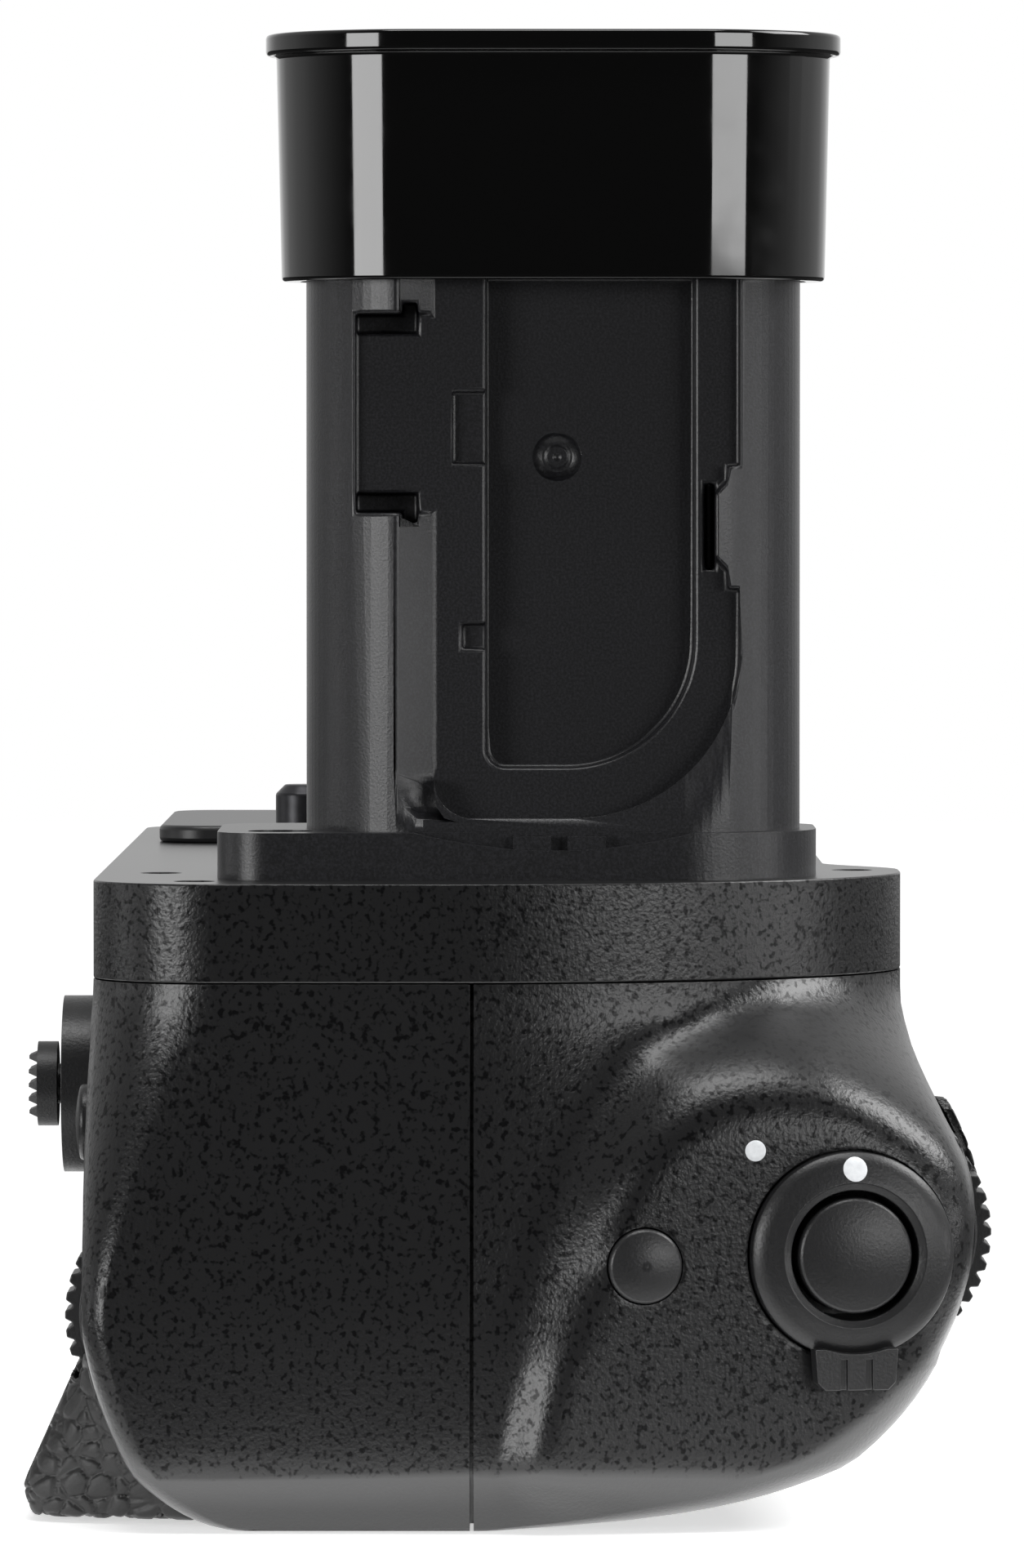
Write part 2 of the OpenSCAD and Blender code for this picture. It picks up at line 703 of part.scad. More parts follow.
// Doorway of the tray in the far end's wall, with room for the latch's tongue to swing
module tray_door() {
  translate([far_end - end_wall - 1, 0, 0]) rotate([90, 0, 90]) linear_extrude(end_wall + 2)
    round_rect(-cover_w / 2 - tray_gap, cover_w / 2 + tray_gap,
      cover_z - tray_gap, cover_z + cover_h + tray_gap, cover_r);
  latch_sweep();
}

// Disc that the latch's tongue sweeps
module latch_sweep() {
  rod_x(tray_end - eps, tray_end + tongue_t + 2 * tongue_in, latch_y, latch_z, tongue_l + 0.3);
}

// Room for one dial, with the bore for its shaft
module dial_room(x, y, z, r) {
  rod_x(x - moving_gap, x + dial_w + moving_gap, y, z, r + moving_gap);
  rod_x(x - shaft_past, cavity_x + 1, y, z, shaft_r);
}

module front_shell() color("#1d1d1e") difference() {
  shell_loft([for (z = level_z) front_slice(z)], len(front_slice(0)) - 1);
  shell_cavity();
  dial_room(front_dial_x, front_dial_y, front_dial_z, front_dial_r);
  on_plateau(shutter_y, shutter_z) {
    translate([0, 0, -ring_seat]) cylinder(h = 20, r = ring_r + moving_gap / 2);
    translate([0, 0, -ring_seat - hub_d]) cylinder(h = 20, r = hub_r + running_gap);
    translate([0, 0, -shutter_floor]) cylinder(h = 20, r = stem_guide_r + button_gap);
  }
  on_plateau(function_y, function_z)
    translate([0, 0, -function_floor]) cylinder(h = 20, r = function_r + button_gap);
  seam_lip(lip_gap);
  tray_door();
  foot_holes();
  socket_hole();
}

// Counterbored holes for the screws in the base
module foot_holes() {
  for (p = foot_screw_at()) rod_z(-eps, 1.2, p[0], p[1], foot_screw_r);
}

// Hole for the tripod bush
module socket_hole() {
  rod_z(-eps, floor_t + 1, 0, 0, socket_r + 1.6);
  rod_z(floor_t, floor_t + 3, 0, 0, socket_r + 4.5);
}

module rear_shell() color("#1d1d1e") {
  rear_moulding();
  seam_lip(0);
}

// Rear shell without its lip
module rear_moulding() difference() {
  shell_loft([for (z = level_z) rear_slice(z)], 0);
  shell_cavity();
  dial_room(rear_dial_x, rear_dial_y, rear_dial_z, rear_dial_r);
  box(rear_dial_x - moving_gap, rear_dial_x + dial_w + moving_gap, rear_reach - 2, rear_reach + 2,
    rear_dial_z - rear_dial_r, rear_dial_z + rear_dial_r + 0.3);
  rod_y(rear_reach - thumb_floor, rear_reach + 2, thumb_x, thumb_z, thumb_r + button_gap);
  rod_y(cavity_y - 1, rear_reach + 2, joy_x, joy_z, bezel_r);
  tray_door();
  foot_holes();
  socket_hole();
}

// Outline of the stem and of what fits round it, grown by a margin
module stem_outline(margin) {
  translate([-stem_x, -stem_y])
    round_rect(-stem_t / 2 - margin, stem_t / 2 + margin, -stem_w / 2 - margin, stem_w / 2 + margin,
      stem_r + margin);
}

module stem_base_plate() color("#2a2a2b") difference() {
  translate([0, 0, base_z]) linear_extrude(base_t) base_outline();
  translate([-stem_x - base_d / 2 + 5, base_mid_y + base_w / 2 - 5, stem_z - 1.2])
    linear_extrude(2) round_rect(-2.4, 2.4, -2.6, 2.6, 2.3);
  latch_scoop();
}

module base_outline() {
  translate([-stem_x, base_mid_y]) difference() {
    round_rect(-base_d / 2, base_d / 2, -base_w / 2, base_w / 2, base_r);
    difference() {
      translate([-base_d / 2 - 1, -base_w / 2 - 1]) square(base_turn + 1);
      translate([base_turn - base_d / 2, base_turn - base_w / 2]) circle(base_turn);
    }
  }
}

// Shallow round scoop in the plate's near edge, with two ramps left standing in it
module latch_scoop() {
  near = -stem_x - base_d / 2;
  big = (pow(scoop_w / 2, 2) + pow(scoop_d, 2)) / (2 * scoop_d);
  difference() {
    intersection() {
      rod_x(near - 1, near + scoop_in, -stem_y, stem_z - scoop_d + big, big);
      box(near - 2, near + 3, -stem_y - scoop_w, -stem_y + scoop_w, stem_z - 2 * scoop_d, stem_z + 1);
    }
    for (y = ramp_at) box(near + 0.4, near + 2, y - stem_y - ramp_w / 2, y - stem_y + ramp_w / 2,
      stem_z - 2 * scoop_d, stem_z - 0.3);
  }
}

module battery_stem() color("#2b2b2c") {
  difference() {
    translate([0, 0, stem_z]) linear_extrude(stem_h) stem_outline(0);
    on_stem_face(pocket_d) pocket_outline();
    on_stem_face(well_d) well_outline();
    on_stem_face(pocket_d + 0.9) small_recesses();
    on_stem_face(pocket_d + 3.5) catch_slots();
    pocket_ramp();
    dimple_at() sphere(r = dimple_ball);
  }
  dimple_at() rotate([0, 90, 0]) translate([0, 0, dimple_ball - 0.25]) cylinder(h = 0.3, r = 0.4);
}

// Middle of the ball that leaves the round dimple in the well's floor
module dimple_at() {
  translate([stem_face + well_d + dimple_d - dimple_ball, -stem_y - stem_dimple_y, stem_z + stem_dimple_z])
    children();
}

// Door pocket, with a step to the rear for the door's hinge and a large round at its lower front corner
module pocket_outline() {
  difference() {
    union() {
      translate([pocket_left, pocket_low]) square([pocket_right - pocket_left, stem_h]);
      translate([hinge_left, hinge_low]) square([pocket_left - hinge_left + eps, hinge_high - hinge_low]);
    }
    corner_waste(pocket_right, pocket_low, 1, pocket_turn);
    corner_waste(pocket_left, pocket_low, -1, 3);
    catch_tab();
  }
}

// What a round takes off a lower corner at x, low, on the front side (1) or the rear side (-1)
module corner_waste(x, low, side, r) {
  difference() {
    translate([side > 0 ? x - r : x - 1, low - 1]) square([r + 1, r + 1]);
    translate([x - side * r, low + r]) circle(r);
  }
}

// Tab for the door's catch, left standing in the pocket
module catch_tab() {
  polygon([[pocket_right + 1, 19.1], [pocket_right + 1, 28.8], [13.7, 28.8], [13.7, 27.6], [12.7, 26.6],
    [12.7, 21.6], [13.7, 20.6], [13.7, 19.1]]);
}

// Inner well, round at its lower corners
module well_outline() {
  difference() {
    translate([well_left, well_low]) square([well_right - well_left, well_high - well_low]);
    corner_waste(well_right, well_low, 1, well_turn);
    corner_waste(well_left, well_low, -1, 1.5);
  }
}

// Shallow recesses beside the well
module small_recesses() {
  translate([-8, 29]) square([2.8, 5.6]);
  translate([-7.2, 14.4]) square([2, 1.9]);
}

// Slots for the door's hinge hooks and its catch
module catch_slots() {
  translate([hinge_left, hinge_high - slot_h]) square([slot_w, slot_h]);
  translate([hinge_left + slot_w - 1.2, hinge_high - eps]) square([1.2, 0.9]);
  translate([hinge_left, hinge_low]) square([slot_w, slot_h]);
  translate([hinge_left + slot_w - 1.2, hinge_low - 0.8]) square([1.2, 0.8 + eps]);
  translate([11.9, 20.6]) square([0.8, 6.8]);
}

// Sloping rear side of the pocket, which turns in at its foot
// Each row has its outer edge, height and inner edge
module pocket_ramp() {
  rows = [[-12.6, stem_h + 1, -9.4], [-12.6, 5, -9.4], [-12.5, 3.4, -9.4], [-11.9, 2, -9.2],
    [-10.8, 1.1, -8.6], [-9, 0.8, -7.6]];
  translate([stem_face, -stem_y, stem_z]) rotate([90, 0, -90])
    loft([for (r = rows) [[r[0], r[1], eps], [r[2], r[1] + 0.02, -pocket_d], [r[2], r[1] + 0.02, eps]]], 0);
}

module stem_contact_block() color("#1a1a1a")
  translate([0, 0, stem_top]) linear_extrude(block_h) stem_outline(-2.5);

// Gold blades let into the contact block
module stem_contacts() color("#c9a24a")
  for (i = [-3:3]) translate([-stem_x - 2 * blade_t, -stem_y + 3.4 * i, stem_top + block_h])
    box(0, blade_w, -0.7, 0.7, 0, 0.25);

module contact_cap() color("#0c0c0d") difference() {
  union() {
    cap_body();
    translate([0, 0, cap_top - cap_lip_h]) linear_extrude(cap_lip_h)
      stem_outline(cap_gap + cap_wall + cap_draft + cap_lip);
  }
  translate([0, 0, cap_bottom - eps]) linear_extrude(cap_roof + 0.25 - cap_bottom + eps)
    stem_outline(cap_gap);
}

// Tapered wall of the cap, wider at the top
module cap_body() {
  hull() {
    translate([0, 0, cap_bottom]) linear_extrude(eps) stem_outline_round(cap_gap + cap_wall);
    translate([0, 0, cap_top - eps]) linear_extrude(eps) stem_outline_round(cap_gap + cap_wall + cap_draft);
  }
}

// The same outline with plain corner facets, for the tapered wall
module stem_outline_round(margin) {
  translate([-stem_x, -stem_y]) hull()
    for (x = [-1, 1], y = [-1, 1]) translate([x * (stem_t / 2 - stem_r), y * (stem_w / 2 - stem_r)])
      circle(stem_r + margin, $fn = 48);
}

// Smooth peg on a slimmer spigot, with a small relief above the top face
module locating_peg() color("#3a3a3c") translate([peg_x, peg_y, top_z]) {
  translate([0, 0, -peg_in]) cylinder(h = peg_in + relief + eps, r = spigot_r);
  translate([0, 0, relief]) cylinder(h = peg_h - tip - relief, r = peg_r);
  translate([0, 0, peg_h - tip]) cylinder(h = tip, r1 = peg_r, r2 = peg_r - tip);
}

// Threaded end above the top face, on a slimmer shank that carries the gear
module attachment_screw() color("#b9b9bb") {
  rod_z(gear_z - bracket_t, top_z + relief + eps, 0, 0, shank_r);
  rod_z(top_z + relief, top_z + screw_h - tip, 0, 0, screw_r);
  translate([0, 0, top_z + screw_h - tip]) cylinder(h = tip, r1 = screw_r, r2 = screw_r - tip);
}

module screw_gear() color("#d8d4c8") translate([0, 0, gear_z]) difference() {
  linear_extrude(gear_t) rotate(90 + 180 / screw_teeth) gear_outline(screw_teeth);
  translate([0, 0, -eps]) cylinder(h = gear_t + 2 * eps, r = shank_r);
}

// Plate under the screw's gear, hung from the top plate by three posts
module screw_bracket() color("#9a9a9c") {
  low = gear_z - 0.3 - bracket_t;
  post_r = 1.6;
  reach = screw_pitch + gear_m + 2.2;
  difference() {
    union() {
      box(-reach - post_r, screw_r + 3, -7, 7, low, low + bracket_t);
      box(-5, 5, -reach - post_r, 0, low, low + bracket_t);
    }
    rod_z(low - eps, low + bracket_t + eps, 0, 0, shank_r + running_gap);
  }
  for (p = [[-reach, 4.5], [-reach, -4.5], [0, -reach]])
    rod_z(low + bracket_t - eps, top_z - plate_t, p[0], p[1], post_r);
}

module attachment_wheel() color("#1b1b1c") translate([0, wheel_y, gear_z]) difference() {
  linear_extrude(gear_t) rotate(-90) gear_outline(wheel_teeth);
  translate([0, 0, -eps]) cylinder(h = gear_t + 2 * eps, r = shaft_r + running_gap);
}

// Headed pin that carries the thumb wheel
module wheel_axle() color("#b9b9bb") {
  rod_z(gear_z - 0.3, top_z - plate_t + 1.2, 0, wheel_y, shaft_r);
  rod_z(gear_z - 1.1, gear_z - 0.3 + eps, 0, wheel_y, shaft_r + 1.2);
}

module tripod_socket() color("#a8a8aa") difference() {
  union() {
    rod_z(0, floor_t + socket_d - 1, 0, 0, socket_r + 1.6);
    rod_z(floor_t, floor_t + 1.5, 0, 0, socket_r + 4.5);
  }
  rod_z(-eps, socket_d, 0, 0, socket_r);
}

module battery_chamber() color("#38383a") difference() {
  box(chamber_back, far_end - end_wall, -chamber_in_w / 2 - chamber_wall, chamber_in_w / 2 + chamber_wall,
    chamber_z, chamber_z + chamber_in_h + 2 * chamber_wall);
  box(chamber_back + chamber_wall, far_end + 1, -chamber_in_w / 2, chamber_in_w / 2,
    chamber_z + chamber_wall, chamber_z + chamber_wall + chamber_in_h);
  blade_slots(chamber_back - 1, chamber_wall + 2, 0.3);
}

// Heights and sides of the contact blades
function blade_at() = [for (side = [-1, 1]) for (z = blade_up) [side * (bay_w + tray_wall) / 2, tray_z + z]];

module blade_slots(x, length, room) {
  for (p = blade_at()) box(x, x + length, p[0] - blade_t / 2 - room, p[0] + blade_t / 2 + room,
    p[1] - blade_w / 2 - room, p[1] + blade_w / 2 + room);
}

module chamber_contact_block() color("#202022") difference() {
  box(chamber_back - contact_d, chamber_back, -contact_w, contact_w,
    tray_z + blade_up[0] - blade_margin, tray_z + blade_up[2] + blade_margin);
  blade_slots(chamber_back - 2, 3, 0);
}

module chamber_contacts() color("#c9a24a")
  blade_slots(chamber_back - 2, 2 + chamber_wall + tray_gap + tray_wall + blade_in, 0);

module battery_tray() color("#2f2f31") difference() {
  box(tray_back, tray_end, -tray_w / 2, tray_w / 2, tray_z, tray_z + tray_h);
  for (side = [-1, 1]) translate([0, side * (bay_w + tray_wall) / 2, 0])
    box(tray_back + tray_wall, tray_back + tray_wall + bay_l, -bay_w / 2, bay_w / 2,
      tray_z + tray_wall, tray_z + tray_h + 1);
  blade_slots(tray_back - 1, tray_wall + 2, 0.4);
}

module tray_cover() color("#1d1d1e") difference() {
  translate([tray_end, 0, 0]) rotate([90, 0, 90]) linear_extrude(cover_t)
    round_rect(-cover_w / 2, cover_w / 2, cover_z, cover_z + cover_h, cover_r);
  latch_sweep();
  rod_x(far_end - 1.1, far_end + 1, latch_y, latch_z, latch_r + moving_gap / 2);
  rod_x(tray_end - 1, far_end + 1, latch_y, latch_z, latch_shaft_r + running_gap);
}

// Flush knob with two finger scoops, on a short shaft
module tray_latch_knob() color("#252526") difference() {
  union() {
    rod_x(far_end - 1, far_end, latch_y, latch_z, latch_r);
    rod_x(tray_end + tongue_in + tongue_t, far_end - 1 + eps, latch_y, latch_z, latch_shaft_r);
  }
  for (side = [-1, 1]) rod_x(far_end - 0.7, far_end + 1, latch_y + side * latch_r / 2, latch_z, latch_r / 3);
}

// Tongue behind the cover: it points up when open and turns to the front to lock
module tray_latch_tongue() color("#b9b9bb") {
  rod_x(tray_end + tongue_in, tray_end + tongue_in + tongue_t, latch_y, latch_z, latch_shaft_r + 1);
  box(tray_end + tongue_in, tray_end + tongue_in + tongue_t, latch_y - 2, latch_y + 2,
    latch_z, latch_z + tongue_l - 0.2);
}

module main_board() color("#1f5a36") difference() {
  translate([cavity_x, 0, 0]) rotate([90, 0, 90]) linear_extrude(board_t)
    polygon([[-14, floor_t + 8], [-5, floor_t + 1], [0, floor_t], [14, floor_t], [board_y, 12],
      [board_y, board_z], [-board_front, board_z], [-board_front, hollow_side_z]]);
  rod_x(cavity_x - 1, cavity_x + board_t + 1, 8, 18, 1.4);
}

module shutter_button() color("#262627") on_plateau(shutter_y, shutter_z) {
  crowned_button(shutter_r, 2.4, -1.6, 0.6);
  translate([0, 0, -shutter_floor + switch_h + shutter_travel + 0.2])
    cylinder(h = shutter_floor - switch_h - shutter_travel - 0.2 - 1.6 + eps, r = stem_guide_r);
}

module shutter_switch() color("#c8c8ca") on_plateau(shutter_y, shutter_z)
  tactile_switch(-shutter_floor, 2.4);

// Dished ring with a hub below and a ribbed lever pointing down
module lock_ring() color("#232324") on_plateau(shutter_y, shutter_z) {
  rotate_extrude() polygon([[ring_in, -ring_seat - hub_d + 0.1], [hub_r, -ring_seat - hub_d + 0.1],
    [hub_r, -ring_seat + 0.05], [ring_r, -ring_seat + 0.05], [ring_r, 0.9], [ring_r - 0.5, 1.4],
    [ring_in + 0.6, 1.9], [ring_in, 1.6]]);
  difference() {
    translate([-ring_r - 2.4, -3.1, 0.35]) linear_extrude(1.9)
      polygon([[0, 0.6], [0.6, 0], [3.2, -0.2], [3.2, 6.4], [0.6, 6.2], [0, 5.6]]);
    translate([0, 0, -1]) cylinder(h = 4, r = ring_r - 0.4);
    for (y = [-1, 1]) translate([-ring_r - 2.6, y - 0.25, 1.9]) cube([2.6, 0.5, 1]);
  }
}

module function_button() color("#262627") on_plateau(function_y, function_z)
  crowned_button(function_r, 0.9, -function_floor + switch_h + button_travel + 0.2, 0.5);

module function_switch() color("#c8c8ca") on_plateau(function_y, function_z)
  tactile_switch(-function_floor, 2.2);

module front_dial() color("#161617") dial(front_dial_x, front_dial_y, front_dial_z, front_dial_r);

module rear_dial() color("#161617") dial(rear_dial_x, rear_dial_y, rear_dial_z, rear_dial_r);

module front_dial_shaft() color("#b9b9bb")
  rod_x(front_dial_x - shaft_past, cavity_x, front_dial_y, front_dial_z, shaft_r);

module rear_dial_shaft() color("#b9b9bb")
  rod_x(rear_dial_x - shaft_past, cavity_x, rear_dial_y, rear_dial_z, shaft_r);

// Bezel in the rear wall, with a dished mouth and two bearing holes for the gimbal
module joystick_bezel() color("#19191a") difference() {
  union() {
    rod_y(cavity_y, rear_reach + bezel_out, joy_x, joy_z, bezel_r);
    rod_y(cavity_y - 1, cavity_y, joy_x, joy_z, bezel_r + 0.8);
  }
  rod_y(cavity_y - 2, rear_reach + bezel_out + 1, joy_x, joy_z, gimbal_r + moving_gap);
  rod_x(joy_x - bezel_r - 1, joy_x + bezel_r + 1, joy_pivot_y, joy_z, pin_r + running_gap);
}

// Ring that tilts about X in the bezel
module joystick_gimbal() color("#8e8e90") difference() {
  union() {
    difference() {
      rod_y(joy_pivot_y - 0.9, joy_pivot_y + 0.9, joy_x, joy_z, gimbal_r);
      rod_y(joy_pivot_y - 2, joy_pivot_y + 2, joy_x, joy_z, gimbal_r - 1.4);
    }
    for (side = [-1, 1]) translate([side < 0 ? joy_x - gimbal_r - 1.6 : joy_x + gimbal_r - 0.4, 0, 0])
      rod_x(0, 2, joy_pivot_y, joy_z, pin_r);
  }
  rod_z(joy_z - gimbal_r - 1, joy_z + gimbal_r + 1, joy_x, joy_pivot_y, pin_r + running_gap);
}

// Knob on its stalk, which tilts about Z in the gimbal
module joystick_knob() color("#19191a") {
  knob_y = rear_reach + bezel_out + knob_up;
  rod_y(joy_pivot_y - 1.2, knob_y + eps, joy_x, joy_z, 1.6);
  rod_z(joy_z - gimbal_r + 0.2, joy_z + gimbal_r - 0.2, joy_x, joy_pivot_y, pin_r);
  rod_y(knob_y, knob_y + 1.6, joy_x, joy_z, knob_r);
  for (ix = [-2:2], iz = [-2:2]) if (ix * ix + iz * iz < 6)
    translate([joy_x + 1.1 * ix, knob_y + 1.6 - eps, joy_z + 1.1 * iz]) rotate([-90, 45, 0])
      cylinder(h = 0.7, r1 = 0.62, r2 = 0.2, $fn = 4);
}

module thumb_button() color("#262627") translate([thumb_x, rear_reach, thumb_z]) rotate([-90, 0, 0])
  crowned_button(thumb_r, 1.1, -thumb_floor + switch_h + button_travel + 0.2, 0.4);

module thumb_switch() color("#c8c8ca") translate([thumb_x, rear_reach, thumb_z]) rotate([-90, 0, 0])
  tactile_switch(-thumb_floor, 2.2);

// Reach of the thumb rest: fullest just above the base, and fading out at its ends
function rest_y(x, z) = let (
    end = min(ease((x - rest_start) / rest_near), ease((rest_stop - x) / rest_far)),
    share = z > rest_z ? 1 - (z - rest_z) / rest_rise : 1 - 0.2 * pow(1 - z / rest_z, 2),
    full = rear_reach + rest_out * share,
    least = rear_y(x, z) + 0.3)
  mix(least, max(full, least), end);

module thumb_rest() color("#141414") difference() {
  rows = [for (i = [len(rest_x) - 1:-1:0]) rest_x[i]];
  span = [1:rest_levels];
  patch(
    [for (x = rows) [for (k = span) [x, rear_y(x, level_z[k]), level_z[k]]]],
    [for (x = rows) [for (k = span) [x, rest_y(x, level_z[k]), level_z[k]]]]);
  dial_room(rear_dial_x, rear_dial_y, rear_dial_z, rear_dial_r);
}

// Rubber skin on the front of the hand grip
module grip_skin() color("#141414") {
  xs = [skin_start, each [for (x = front_x) if (x < skin_end) x]];
  span = [skin_low:skin_high];
  patch(
    [for (x = xs) [for (k = span) [x, front_y(x, level_z[k]), level_z[k]]]],
    [for (x = xs) [for (k = span) [x, front_y(x, level_z[k]) - skin_t, level_z[k]]]]);
}

module camera_pad() color("#1b1b1b")
  round_box(pad_x, far_end - pad_edge, -pad_front, band_rear - pad_edge, top_z, top_z + pad_h, pad_r);

// Countersunk heads in the base, one solid each
module foot_screws() color("#2a2a2b") for (p = foot_screw_at()) difference() {
  rod_z(0.2, 1.2, p[0], p[1], foot_screw_r);
  cross_recess(p, 0.2);
}

module top_screws() color("#2a2a2b") for (p = top_screw_at()) difference() {
  rod_z(top_z - 1, top_z - 0.3, p[0], p[1], top_screw_r);
  cross_recess(p, top_z - 0.3);
}

// Cross slot in a screw's head
module cross_recess(p, z) {
  for (a = [0, 90]) translate([p[0], p[1], z]) rotate(a) cube([2, 0.5, 0.6], center = true);
}

top_cover();
front_shell();
rear_shell();
stem_base_plate();
battery_stem();
stem_contact_block();
stem_contacts();
contact_cap();
locating_peg();
attachment_screw();
screw_gear();
screw_bracket();
attachment_wheel();
wheel_axle();
tripod_socket();
battery_chamber();
chamber_contact_block();
chamber_contacts();
battery_tray();
tray_cover();
tray_latch_knob();
tray_latch_tongue();
main_board();
shutter_button();
shutter_switch();
lock_ring();
function_button();
function_switch();
front_dial();
front_dial_shaft();
rear_dial();
rear_dial_shaft();
joystick_bezel();
joystick_gimbal();
joystick_knob();
thumb_button();
thumb_switch();
thumb_rest();
grip_skin();
camera_pad();
foot_screws();
top_screws();
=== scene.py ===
"""Looks of a camera battery grip: finishes, softened mouldings, studio light and the camera.

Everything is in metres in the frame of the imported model: +Z up, front -Y, shutter end -X.
"""
import json
import math

import bmesh
import bpy
from mathutils import Matrix, Vector
from mathutils.bvhtree import BVHTree
from mathutils.noise import noise_vector, seed_set, voronoi


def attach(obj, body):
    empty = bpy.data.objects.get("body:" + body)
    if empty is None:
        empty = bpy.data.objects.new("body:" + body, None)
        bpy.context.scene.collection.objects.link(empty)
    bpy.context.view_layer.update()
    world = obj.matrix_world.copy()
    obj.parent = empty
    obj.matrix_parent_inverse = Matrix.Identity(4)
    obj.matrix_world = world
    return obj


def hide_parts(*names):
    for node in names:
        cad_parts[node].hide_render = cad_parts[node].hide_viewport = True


MM = 0.001

# Without a seed, noise_vector starts from the clock
seed_set(5)

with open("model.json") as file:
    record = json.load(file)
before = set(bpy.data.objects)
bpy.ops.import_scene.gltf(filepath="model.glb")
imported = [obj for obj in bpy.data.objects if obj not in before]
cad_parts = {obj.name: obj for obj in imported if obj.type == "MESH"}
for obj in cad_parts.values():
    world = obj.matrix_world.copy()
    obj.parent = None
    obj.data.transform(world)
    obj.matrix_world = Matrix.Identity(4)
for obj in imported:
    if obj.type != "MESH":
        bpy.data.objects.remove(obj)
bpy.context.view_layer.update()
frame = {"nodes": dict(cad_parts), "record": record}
NODES = frame["nodes"]
BODY_OF = {node: body for body, nodes in frame["record"]["behaviour"]["bodies"].items() for node in nodes}
SLOT_OF = {part["node"]: part["material_slot"] for part in frame["record"]["subparts"]}


# Colours and shader nodes

def linear(hex_colour):
    """Linear RGBA of an sRGB hex colour."""
    values = [int(hex_colour[i:i + 2], 16) / 255 for i in (1, 3, 5)]
    return [v / 12.92 if v <= 0.04045 else ((v + 0.055) / 1.055) ** 2.4 for v in values] + [1.0]


def fill(tree, node, inputs):
    """Sets a node's inputs: plain values as they are, nodes and sockets as links."""
    for key, value in inputs.items():
        if isinstance(value, bpy.types.Node):
            value = value.outputs[0]
        if isinstance(value, bpy.types.NodeSocket):
            tree.links.new(value, node.inputs[key])
        else:
            node.inputs[key].default_value = value


def add(tree, kind, inputs, **settings):
    """Adds a node with its settings, and fills or links its inputs."""
    node = tree.nodes.new(kind)
    for key, value in settings.items():
        setattr(node, key, value)
    fill(tree, node, inputs)
    return node


def start_material(name, colour, roughness):
    """A new material in one colour; returns it with its tree, its shader and the object's coordinates."""
    material = bpy.data.materials.new(name)
    material.use_nodes = True
    tree = material.node_tree
    shader = tree.nodes["Principled BSDF"]
    fill(tree, shader, {"Base Color": linear(colour), "Roughness": roughness})
    coordinates = add(tree, "ShaderNodeTexCoord", {}).outputs["Object"]
    return material, tree, shader, coordinates


# Finishes

def stippled_abs():
    """Moulded ABS with a spark-eroded stipple: fine grains that glitter, and pitting painted darker and duller as
    painted shade in its hollows. On faces turned up the pitting and grain fade, painted top light that makes tops
    paler; on faces turned down the pitting goes and the skin reflects more, a painted sheen from the floor below.
    """
    material, tree, shader, at = start_material("stippled_abs", "#131314", 0.32)
    geometry = add(tree, "ShaderNodeNewGeometry", {})
    facing = add(tree, "ShaderNodeSeparateXYZ", {0: geometry.outputs["Normal"]}).outputs["Z"]
    # Faces turned down lose their pitting and reflect more: painted sheen standing in for the bright floor below.
    under = add(tree, "ShaderNodeMapRange", {"Value": facing, "From Min": -0.15, "From Max": -0.4})
    # Faces turned up keep less pitting and grain: painted top light that makes tops paler.
    painted_top_light_share = add(tree, "ShaderNodeMapRange", {
        "Value": facing, "From Min": 0.6, "From Max": 0.9, "To Min": 1.0, "To Max": 0.1})
    grain = add(tree, "ShaderNodeTexNoise", {"Vector": at, "Scale": 1 / (0.3 * MM), "Detail": 2.0})
    blobs = add(tree, "ShaderNodeTexNoise", {"Vector": at, "Scale": 1 / (0.5 * MM), "Detail": 1.5})
    # Pitting painted darker: painted shade in the stipple's hollows, which have no depth here.
    painted_pit_shade = add(tree, "ShaderNodeMapRange", {"Value": blobs, "From Min": 0.53, "From Max": 0.66})
    kept = add(tree, "ShaderNodeMath", {0: painted_pit_shade, 1: painted_top_light_share}, operation="MULTIPLY")
    shown = add(tree, "ShaderNodeMath", {0: kept, 1: under}, operation="SUBTRACT", use_clamp=True)
    shade = add(tree, "ShaderNodeMix", {
        "Factor": shown, "A": linear("#131314"), "B": linear("#040405")}, data_type="RGBA")
    # Pitting reflects less, painted shade; faces turned down reflect more, painted sheen.
    dulled = add(tree, "ShaderNodeMapRange", {"Value": shown, "To Min": 0.5, "To Max": 0.2})
    shine = add(tree, "ShaderNodeMath", {0: under, 1: 0.5, 2: dulled}, operation="MULTIPLY_ADD")
    relief = add(tree, "ShaderNodeBump", {"Height": grain, "Distance": 0.035 * MM, "Strength": painted_top_light_share})
    fill(tree, shader, {"Base Color": shade.outputs["Result"], "Specular IOR Level": shine, "Normal": relief})
    return material


def satin_abs():
    """Fine-textured moulded ABS of the stem: a soft sheen broken by a grain that glitters under a lens."""
    material, tree, shader, at = start_material("satin_abs", "#1a1a1c", 0.36)
    grain = add(tree, "ShaderNodeTexNoise", {"Vector": at, "Scale": 1 / (0.2 * MM), "Detail": 2.0})
    crests = add(tree, "ShaderNodeMapRange", {"Value": grain, "From Min": 0.4, "From Max": 0.68})
    shade = add(tree, "ShaderNodeMix", {
        "Factor": crests, "A": linear("#121214"), "B": linear("#242427")}, data_type="RGBA")
    relief = add(tree, "ShaderNodeBump", {"Height": grain, "Distance": 0.015 * MM})
    fill(tree, shader, {"Base Color": shade.outputs["Result"], "Normal": relief})
    return material


